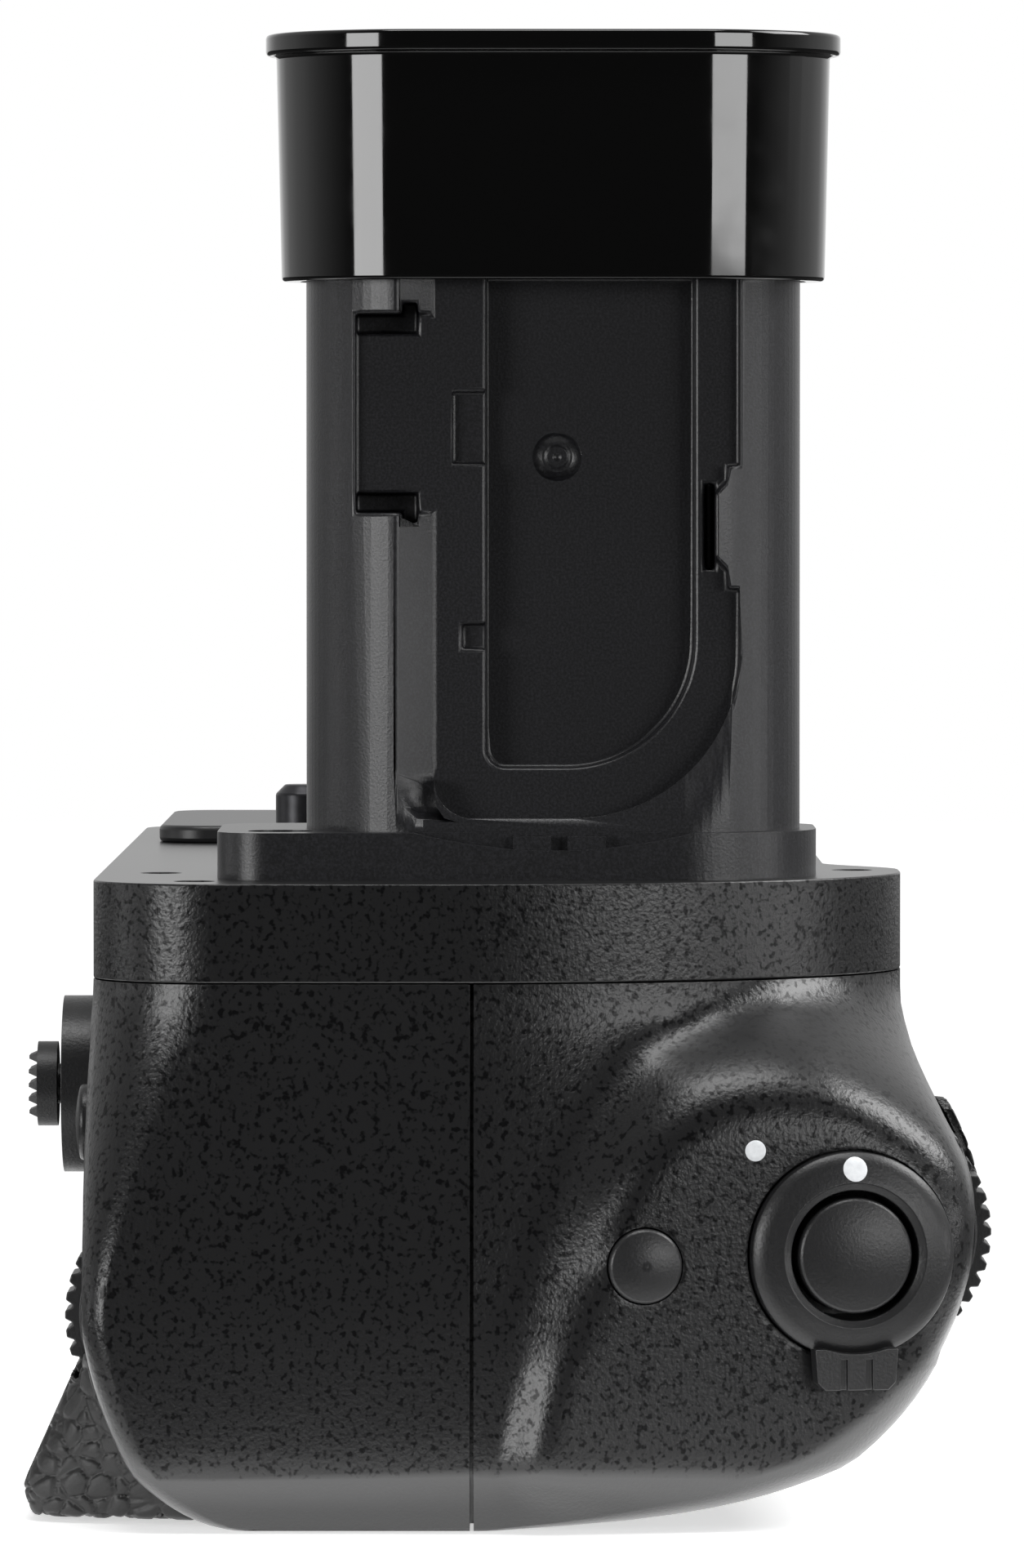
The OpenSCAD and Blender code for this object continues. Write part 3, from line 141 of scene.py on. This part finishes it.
def button_abs():
    """Satin keys and rings: fine leather-like grain on dark ABS."""
    material, tree, shader, at = start_material("button_abs", "#1a1a1b", 0.38)
    grain = add(tree, "ShaderNodeTexNoise", {"Vector": at, "Scale": 1 / (0.24 * MM), "Detail": 2.0})
    gloss = add(tree, "ShaderNodeMapRange", {
        "Value": grain, "From Min": 0.3, "From Max": 0.7, "To Min": 0.42, "To Max": 0.34})
    relief = add(tree, "ShaderNodeBump", {"Height": grain, "Distance": 0.02 * MM})
    fill(tree, shader, {"Roughness": gloss, "Normal": relief})
    return material


def gloss_abs():
    """Polished black ABS of the cap: a mirror skin with faint waviness from the mould."""
    material, tree, shader, at = start_material("gloss_abs", "#060606", 0.05)
    wave = add(tree, "ShaderNodeTexNoise", {"Vector": at, "Scale": 1 / (14 * MM), "Detail": 1.0})
    haze = add(tree, "ShaderNodeTexNoise", {"Vector": at, "Scale": 1 / (3 * MM)})
    gloss = add(tree, "ShaderNodeMapRange", {
        "Value": haze, "From Min": 0.3, "From Max": 0.8, "To Min": 0.04, "To Max": 0.09})
    relief = add(tree, "ShaderNodeBump", {"Height": wave, "Distance": 0.005 * MM})
    fill(tree, shader, {"Roughness": gloss, "Normal": relief})
    return material


def matte_nylon():
    """Ribbed dials and the stick's knob: matte glass-filled nylon, a little paler on worn crests."""
    material, tree, shader, at = start_material("matte_nylon", "#151516", 0.45)
    grain = add(tree, "ShaderNodeTexNoise", {"Vector": at, "Scale": 1 / (0.2 * MM)})
    shade = add(tree, "ShaderNodeMix", {"Factor": grain, "A": linear("#0e0e0f"), "B": linear("#202021")}, data_type="RGBA")
    relief = add(tree, "ShaderNodeBump", {"Height": grain, "Distance": 0.02 * MM})
    fill(tree, shader, {"Base Color": shade.outputs["Result"], "Normal": relief})
    return material


def pebbled_rubber():
    """Moulded rubber: a dull skin with a fine bloom; its pebbles are modelled."""
    material, tree, shader, at = start_material("pebbled_rubber", "#171717", 0.48)
    bloom = add(tree, "ShaderNodeTexNoise", {"Vector": at, "Scale": 1 / (0.25 * MM), "Detail": 2.0})
    shade = add(tree, "ShaderNodeMix", {"Factor": bloom, "A": linear("#101010"), "B": linear("#1e1e1e")}, data_type="RGBA")
    relief = add(tree, "ShaderNodeBump", {"Height": bloom, "Distance": 0.02 * MM})
    fill(tree, shader, {"Base Color": shade.outputs["Result"], "Normal": relief})
    return material


def smooth_rubber():
    """Smooth rubber of the pad under the camera: even, with a soft sheen at a low angle."""
    material, tree, shader, at = start_material("smooth_rubber", "#1c1c1d", 0.4)
    bloom = add(tree, "ShaderNodeTexNoise", {"Vector": at, "Scale": 1 / (0.6 * MM), "Detail": 2.0})
    shade = add(tree, "ShaderNodeMix", {"Factor": bloom, "A": linear("#181819"), "B": linear("#202021")}, data_type="RGBA")
    fill(tree, shader, {"Base Color": shade.outputs["Result"]})
    return material


def plain_abs():
    """Plain moulded ABS inside the housing, with faint flow marks."""
    material, tree, shader, at = start_material("plain_abs", "#2a2a2b", 0.45)
    flow = add(tree, "ShaderNodeTexNoise", {"Vector": at, "Scale": 1 / (6 * MM)})
    shade = add(tree, "ShaderNodeMix", {"Factor": flow, "A": linear("#232324"), "B": linear("#323233")}, data_type="RGBA")
    fill(tree, shader, {"Base Color": shade.outputs["Result"]})
    return material


def natural_acetal():
    """Natural acetal of the gear: milky, waxy and smooth."""
    material, tree, shader, at = start_material("natural_acetal", "#d2cdbf", 0.4)
    cloud = add(tree, "ShaderNodeTexNoise", {"Vector": at, "Scale": 1 / (3 * MM)})
    shade = add(tree, "ShaderNodeMix", {"Factor": cloud, "A": linear("#c6c1b2"), "B": linear("#dedacf")}, data_type="RGBA")
    fill(tree, shader, {"Base Color": shade.outputs["Result"]})
    return material


def turned_steel():
    """Nickel-plated turned steel, with fine tool marks that break its shine."""
    material, tree, shader, at = start_material("turned_steel", "#b4b4b6", 0.3)
    marks = add(tree, "ShaderNodeTexNoise", {"Vector": at, "Scale": 1 / (0.35 * MM), "Detail": 3.0})
    gloss = add(tree, "ShaderNodeMapRange", {
        "Value": marks, "From Min": 0.3, "From Max": 0.7, "To Min": 0.24, "To Max": 0.38})
    fill(tree, shader, {"Metallic": 1.0, "Roughness": gloss})
    return material


def black_oxide():
    """Black-plated steel of the screws and the peg: dark, half polished by handling."""
    material, tree, shader, at = start_material("black_oxide", "#2c2c2e", 0.36)
    rub = add(tree, "ShaderNodeTexNoise", {"Vector": at, "Scale": 1 / (0.8 * MM), "Detail": 3.0})
    shade = add(tree, "ShaderNodeMix", {"Factor": rub, "A": linear("#1d1d1f"), "B": linear("#38383b")}, data_type="RGBA")
    fill(tree, shader, {"Metallic": 0.6, "Base Color": shade.outputs["Result"]})
    return material


def gold_plate():
    """Gold-plated contact strip, lightly scuffed."""
    material, tree, shader, at = start_material("gold_plate", "#d0a85a", 0.25)
    scuff = add(tree, "ShaderNodeTexNoise", {"Vector": at, "Scale": 1 / (0.5 * MM), "Detail": 3.0})
    gloss = add(tree, "ShaderNodeMapRange", {
        "Value": scuff, "From Min": 0.3, "From Max": 0.7, "To Min": 0.2, "To Max": 0.34})
    fill(tree, shader, {"Metallic": 1.0, "Roughness": gloss})
    return material


def solder_mask():
    """Green solder mask over glass-fibre board, with a hint of the weave below."""
    material, tree, shader, at = start_material("solder_mask", "#1c4a2e", 0.35)
    weave = add(tree, "ShaderNodeTexNoise", {"Vector": at, "Scale": 1 / (0.6 * MM)})
    shade = add(tree, "ShaderNodeMix", {"Factor": weave, "A": linear("#143823"), "B": linear("#245b39")}, data_type="RGBA")
    fill(tree, shader, {"Base Color": shade.outputs["Result"]})
    return material


def white_paint():
    """Filled white index paint, slightly uneven."""
    material, tree, shader, at = start_material("white_paint", "#e4e6e8", 0.5)
    cover = add(tree, "ShaderNodeTexNoise", {"Vector": at, "Scale": 1 / (0.3 * MM)})
    shade = add(tree, "ShaderNodeMix", {"Factor": cover, "A": linear("#d6d9dc"), "B": linear("#f0f2f4")}, data_type="RGBA")
    fill(tree, shader, {"Base Color": shade.outputs["Result"]})
    return material


FINISH = {
    "shell_plastic": stippled_abs(),
    "stem_plastic": satin_abs(),
    "gloss_cap": gloss_abs(),
    "satin_plastic": button_abs(),
    "dial_plastic": matte_nylon(),
    "rubber": pebbled_rubber(),
    "inner_plastic": plain_abs(),
    "gear_plastic": natural_acetal(),
    "steel": turned_steel(),
    "black_screw": black_oxide(),
    "gold_contact": gold_plate(),
    "circuit_board": solder_mask(),
}
OWN_FINISH = {"camera_pad": smooth_rubber()}
INDEX_PAINT = white_paint()


# Softened copies of the mouldings

def finish_of(node):
    """The finish of a CAD node: its own, or that of its material slot."""
    return OWN_FINISH.get(node, FINISH[SLOT_OF[node]])


def place(mesh, name, host, material, replaced):
    """Puts a finished mesh in the scene on the body of its host node, and stands it in for that node if asked."""
    piece = bpy.data.objects.new(name, mesh)
    bpy.context.scene.collection.objects.link(piece)
    mesh.materials.clear()
    mesh.materials.append(material)
    mesh.shade_smooth()
    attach(piece, BODY_OF[host])
    if replaced:
        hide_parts(host)
    return piece


def merged(node):
    """A bmesh of a CAD node, with its doubled corners merged."""
    work = bmesh.new()
    work.from_mesh(NODES[node].data)
    bmesh.ops.remove_doubles(work, verts=work.verts, dist=0.004 * MM)
    bmesh.ops.dissolve_degenerate(work, edges=work.edges, dist=0.004 * MM)
    return work


def relax(work, rounds, limit_deg, low_mm, high_mm):
    """Smooths the flowing parts of a moulding between two heights; corners on edges over the limit stay."""
    limit = math.radians(limit_deg)
    flowing = [vert for vert in work.verts if low_mm * MM < vert.co.z < high_mm * MM and all(
        edge.is_manifold and edge.calc_face_angle() < limit for edge in vert.link_edges)]
    for _ in range(rounds):
        bmesh.ops.smooth_vert(work, verts=flowing, factor=0.5, use_axis_x=True, use_axis_y=True, use_axis_z=True)


def lower_chin(work):
    """Sets the crease over the raked chin at the height that the photo shows, from 6.5 down to 4.7 mm."""
    for vert in work.verts:
        near = min(1.0, max(0.0, (-45 * MM - vert.co.x) / (8 * MM)))
        height = vert.co.z / MM
        share = min(height / 6.5, max(0.0, (14 - height) / 7.5))
        vert.co.z -= 1.8 * MM * near * max(0.0, share)


def soften(node, work, edge_mm, sharp_deg, spared):
    """A piece from a CAD node's bmesh with its sharp edges rounded but for the spared corners, for that node."""
    sharp = math.radians(sharp_deg)
    weight = work.edges.layers.float.new("bevel_weight_edge")
    for edge in work.edges:
        if edge.is_manifold and edge.calc_face_angle() > sharp and not spared.intersection(edge.verts):
            edge[weight] = 1.0
    mesh = bpy.data.meshes.new(node + "_moulding")
    work.to_mesh(mesh)
    work.free()
    piece = place(mesh, node + "_moulding", node, finish_of(node), True)
    mesh.set_sharp_from_angle(angle=sharp)
    rounding = piece.modifiers.new("rounding", "BEVEL")
    rounding.width = edge_mm * MM
    rounding.segments = 3
    rounding.use_clamp_overlap = node != "battery_stem"
    rounding.limit_method = "WEIGHT"
    flats = piece.modifiers.new("flats", "WEIGHTED_NORMAL")
    flats.keep_sharp = True
    flats.weight = 100
    return piece


DIMPLE_AT = Vector((-40.6, -4.9, 83.4)) * MM


def tight_corners(work):
    """The stem's corners with no room for a rounding: the dimple's, and those where the well meets the foot."""
    return [vert for vert in work.verts if (vert.co - DIMPLE_AT).length < 2.2 * MM or vert.co.z < 58.5 * MM
            or vert.co.z < 64 * MM and vert.co.y < -15 * MM]


def sink_dimple(work):
    """Cuts the stem's latch dimple cleanly: a turned dish with a boss, in the well's floor."""
    floor = DIMPLE_AT
    rim = 1.95
    old = [face for face in work.faces if any(
        abs(vert.co.x - floor.x) < 2 * MM and (vert.co - floor).yz.length < (rim + 0.05) * MM for vert in face.verts)]
    bmesh.ops.delete(work, geom=old, context="FACES")
    outline = [edge for edge in work.edges if edge.is_boundary]
    turn = Matrix.Translation(floor) @ Matrix.Rotation(math.radians(90), 4, "Y")
    circle = bmesh.ops.create_circle(work, segments=48, radius=rim * MM, matrix=turn)["verts"]
    ring = list(dict.fromkeys(edge for vert in circle for edge in vert.link_edges))
    bmesh.ops.triangle_fill(work, use_beauty=True, edges=outline + ring, normal=(-1.0, 0.0, 0.0))
    for radius, depth in ((1.85, 0.25), (1.6, 0.6), (1.2, 0.78), (0.85, 0.8), (0.75, 0.6), (0.4, 0.6), (0.3, 0.75)):
        grown = bmesh.ops.extrude_edge_only(work, edges=ring)["geom"]
        ring = [part for part in grown if isinstance(part, bmesh.types.BMEdge)]
        for vert in {vert for edge in ring for vert in edge.verts}:
            spoke = (vert.co - floor).yz.normalized() * radius * MM
            vert.co = floor + Vector((depth * MM, spoke.x, spoke.y))
    bmesh.ops.contextual_create(work, geom=ring)
    bmesh.ops.recalc_face_normals(work, faces=work.faces)


SKIN_FACES = 180000


def pebble(node, depth_mm, size_mm, rounds):
    """A finely cut copy of a rubber CAD node, rounded, with pebbles moulded in its skin, which stands for the node."""
    mesh = bpy.data.meshes.new(node + "_skin")
    work = merged(node)
    for _ in range(12):
        long_edges = [edge for edge in work.edges if edge.calc_length() > 0.3 * MM]
        if not long_edges:
            break
        bmesh.ops.subdivide_edges(work, edges=long_edges, cuts=1)
        bmesh.ops.triangulate(work, faces=[face for face in work.faces if len(face.verts) > 3])
    for _ in range(rounds):
        bmesh.ops.smooth_vert(work, verts=work.verts, factor=0.5, use_axis_x=True, use_axis_y=True, use_axis_z=True)
    bmesh.ops.recalc_face_normals(work, faces=work.faces)
    work.normal_update()
    for vert in work.verts:
        bent = vert.co / (size_mm * MM) + 0.35 * noise_vector(vert.co / (2.5 * size_mm * MM))
        near, next_near = voronoi(bent)[0][:2]
        groove = 1.0 - min(1.0, (next_near - near) / 0.3)
        vert.co -= vert.normal * depth_mm * MM * groove * groove
    work.to_mesh(mesh)
    work.free()
    piece = place(mesh, node + "_skin", node, finish_of(node), True)
    thinned = piece.modifiers.new("thinned", "DECIMATE")
    thinned.ratio = min(1.0, SKIN_FACES / len(mesh.polygons))


def paint_dot(name, node, centre, normal, radius_mm):
    """A filled dot of index paint that follows the surface of a CAD node."""
    host = bmesh.new()
    host.from_mesh(NODES[node].data)
    surface = BVHTree.FromBMesh(host)
    host.free()
    work = bmesh.new()
    turn = Matrix.Translation(centre) @ normal.to_track_quat("Z", "Y").to_matrix().to_4x4()
    rim = bmesh.ops.create_circle(work, cap_ends=True, segments=40, radius=radius_mm * MM, matrix=turn)["verts"]
    middle = list(work.faces)
    for share in (0.1, 0.4):
        bmesh.ops.inset_region(work, faces=middle, thickness=share * radius_mm * MM, use_boundary=True)
    bmesh.ops.poke(work, faces=middle)
    for vert in work.verts:
        lift = 0.03 if vert in rim else 0.06
        vert.co = surface.ray_cast(vert.co + normal * 3 * MM, -normal)[0] + normal * lift * MM
    mesh = bpy.data.meshes.new(name)
    work.to_mesh(mesh)
    work.free()
    return place(mesh, name, node, INDEX_PAINT, False)


EDGE_MM = {
    "top_cover": 0.6, "front_shell": 0.25, "rear_shell": 0.25, "stem_base_plate": 0.4, "battery_stem": 0.3,
    "contact_cap": 0.3, "shutter_button": 0.3, "lock_ring": 0.25, "function_button": 0.25, "thumb_button": 0.25,
    "joystick_bezel": 0.3, "front_dial": 0.1, "rear_dial": 0.1, "attachment_wheel": 0.1, "tray_cover": 0.2,
    "tray_latch_knob": 0.2, "camera_pad": 0.4, "locating_peg": 0.2,
}
LOFTED = ("front_shell", "rear_shell")
ROUNDS = {"thumb_rest": 40, "grip_skin": 0}
for node_name, cad in NODES.items():
    if node_name in EDGE_MM:
        copy = merged(node_name)
        spared = set()
        if node_name in LOFTED:
            lower_chin(copy)
            relax(copy, 1, 55, 0, 37)
        if node_name == "front_shell":
            relax(copy, 6, 55, 13, 37)
        if node_name == "battery_stem":
            sink_dimple(copy)
        if node_name not in LOFTED:
            bmesh.ops.dissolve_limit(copy, angle_limit=math.radians(0.1), verts=copy.verts, edges=copy.edges)
        if node_name == "battery_stem":
            spared.update(tight_corners(copy))
        soften(node_name, copy, EDGE_MM[node_name], 55 if node_name in LOFTED else 32, spared)
    elif node_name in ROUNDS:
        pebble(node_name, 0.3, 1.7, ROUNDS[node_name])
    else:
        cad.data.materials.clear()
        cad.data.materials.append(finish_of(node_name))


# Index dots: one on the lock ring, and one on the plateau where the ring's dot goes to lock

PLATEAU_TILT = math.radians(11)
OUTWARD = Vector((-math.cos(PLATEAU_TILT), -math.sin(PLATEAU_TILT), 0.0))
SIDEWAYS = Vector((-math.sin(PLATEAU_TILT), math.cos(PLATEAU_TILT), 0.0))
UP = Vector((0.0, 0.0, 1.0))
RING_AT = Vector(next(j for j in frame["record"]["behaviour"]["joints"] if j["name"] == "lock_turn")["pos_m"])
LOCK_TURN = math.radians(43)
paint_dot("ring_dot", "lock_ring", RING_AT + (UP * 6.7 + SIDEWAYS * 0.02) * MM, OUTWARD, 0.95)
paint_dot("body_dot", "front_shell",
          RING_AT + 11.1 * MM * (UP * math.cos(LOCK_TURN) + SIDEWAYS * math.sin(LOCK_TURN)), OUTWARD, 0.82)


# Camera, floor and light

PHOTO_W, PHOTO_H = 1254, 1920
FOCAL_PX = 12151
EYE = Vector((-0.825, -0.00133, 0.0824))
HORIZON_PX = 575
TABLE_R = 0.085


def set_camera():
    """A long lens looking along +X from the shutter end, tipped down so that the horizon sits where it should."""
    data = bpy.data.cameras.new("camera")
    data.sensor_width = 36.0
    data.lens = 36.0 * FOCAL_PX / PHOTO_H
    camera = bpy.data.objects.new("camera", data)
    bpy.context.scene.collection.objects.link(camera)
    dip = math.atan((PHOTO_H / 2 - HORIZON_PX) / FOCAL_PX)
    toward = Vector((math.cos(dip), 0.0, -math.sin(dip)))
    camera.location = EYE
    camera.rotation_euler = toward.to_track_quat("-Z", "Y").to_euler()
    bpy.context.scene.camera = camera


def lay_floor():
    """A table with a white top under the object; to the camera it fades to plain white, and keeps its shadow."""
    work = bmesh.new()
    bmesh.ops.create_circle(work, cap_ends=True, segments=96, radius=1.5)
    mesh = bpy.data.meshes.new("floor")
    work.to_mesh(mesh)
    work.free()
    floor = bpy.data.objects.new("floor", mesh)
    bpy.context.scene.collection.objects.link(floor)
    material, tree, shader, at = start_material("white_table", "#f4f4f4", 0.9)
    reach = add(tree, "ShaderNodeVectorMath", {0: at}, operation="LENGTH").outputs["Value"]
    rim = add(tree, "ShaderNodeMapRange", {"Value": reach, "From Min": TABLE_R, "From Max": 1.4 * TABLE_R})
    top = add(tree, "ShaderNodeMix", {"Factor": rim, "A": linear("#f4f4f4"), "B": linear("#2a2a2a")}, data_type="RGBA")
    path = add(tree, "ShaderNodeLightPath", {}).outputs
    to_camera = add(tree, "ShaderNodeMapRange", {
        "Value": reach, "From Min": 0.9 * TABLE_R, "From Max": 1.3 * TABLE_R, "To Min": 0.55, "To Max": 1.0})
    to_gloss = add(tree, "ShaderNodeMapRange", {
        "Value": reach, "From Min": 0.85 * TABLE_R, "From Max": TABLE_R, "To Min": 1.0, "To Max": 0.0})
    camera_part = add(tree, "ShaderNodeMath", {0: to_camera, 1: path["Is Camera Ray"]}, operation="MULTIPLY")
    gloss_part = add(tree, "ShaderNodeMath", {0: to_gloss, 1: path["Is Glossy Ray"]}, operation="MULTIPLY")
    glow = add(tree, "ShaderNodeMath", {0: camera_part, 1: gloss_part}, operation="ADD")
    fill(tree, shader, {
        "Base Color": top.outputs["Result"], "Emission Color": linear("#ffffff"), "Emission Strength": glow})
    mesh.materials.append(material)


def soft_light(name, place_at, look_at, width, height, power):
    """A rectangular soft box facing a point."""
    data = bpy.data.lights.new(name, "AREA")
    data.shape = "RECTANGLE"
    data.size = width
    data.size_y = height
    data.energy = power
    lamp = bpy.data.objects.new(name, data)
    lamp.location = place_at
    lamp.rotation_euler = (Vector(look_at) - Vector(place_at)).to_track_quat("-Z", "Y").to_euler()
    bpy.context.scene.collection.objects.link(lamp)


def light_studio():
    """A tall soft box either side of the camera, one overhead, and a room that is dark in front and white behind."""
    middle = Vector((-0.05, 0.0, 0.08))
    for name, turn_deg, rise, width, height, power in (
            ("left_box", 46, 0.05, 0.44, 0.4, 5.6),
            ("left_low_box", 92, -0.2, 0.5, 0.3, 3.5),
            ("right_box", -38, 0.08, 0.5, 0.17, 2.4),
            ("right_low_box", -74, -0.12, 0.6, 0.2, 3.6)):
        turn = math.radians(turn_deg)
        away = Vector((-math.cos(turn), math.sin(turn), rise))
        soft_light(name, middle + away, middle + Vector((0.0, 0.0, rise)), width, height, power)
    soft_light("top_box", (-0.25, 0.0, 1.0), middle, 0.6, 0.35, 5.0)
    soft_light("upper_box", (0.0, -0.75, 0.7), middle, 0.6, 0.5, 9.0)
    world = bpy.data.worlds.new("studio")
    world.use_nodes = True
    tree = world.node_tree
    toward = add(tree, "ShaderNodeSeparateXYZ", {0: add(tree, "ShaderNodeTexCoord", {}).outputs["Generated"]}).outputs
    sides = add(tree, "ShaderNodeMapRange", {
        "Value": toward["X"], "From Min": -0.5, "From Max": 0.3, "To Min": 0.05, "To Max": 0.6})
    behind = add(tree, "ShaderNodeMapRange", {
        "Value": toward["X"], "From Min": 0.75, "From Max": 0.97, "To Min": 0.0, "To Max": 0.4})
    above = add(tree, "ShaderNodeMapRange", {
        "Value": toward["Z"], "From Min": -0.3, "From Max": 0.0, "To Min": 0.3, "To Max": 1.0})
    walls = add(tree, "ShaderNodeMath", {0: sides, 1: behind}, operation="ADD")
    room = add(tree, "ShaderNodeMath", {0: walls, 1: above}, operation="MULTIPLY")
    seen = add(tree, "ShaderNodeLightPath", {}).outputs["Is Camera Ray"]
    strength = add(tree, "ShaderNodeMath", {0: room, 1: seen}, operation="MAXIMUM")
    fill(tree, tree.nodes["Background"], {"Color": linear("#ffffff"), "Strength": strength})
    bpy.context.scene.world = world


set_camera()
lay_floor()
light_studio()
bpy.context.scene.view_settings.view_transform = "Standard"
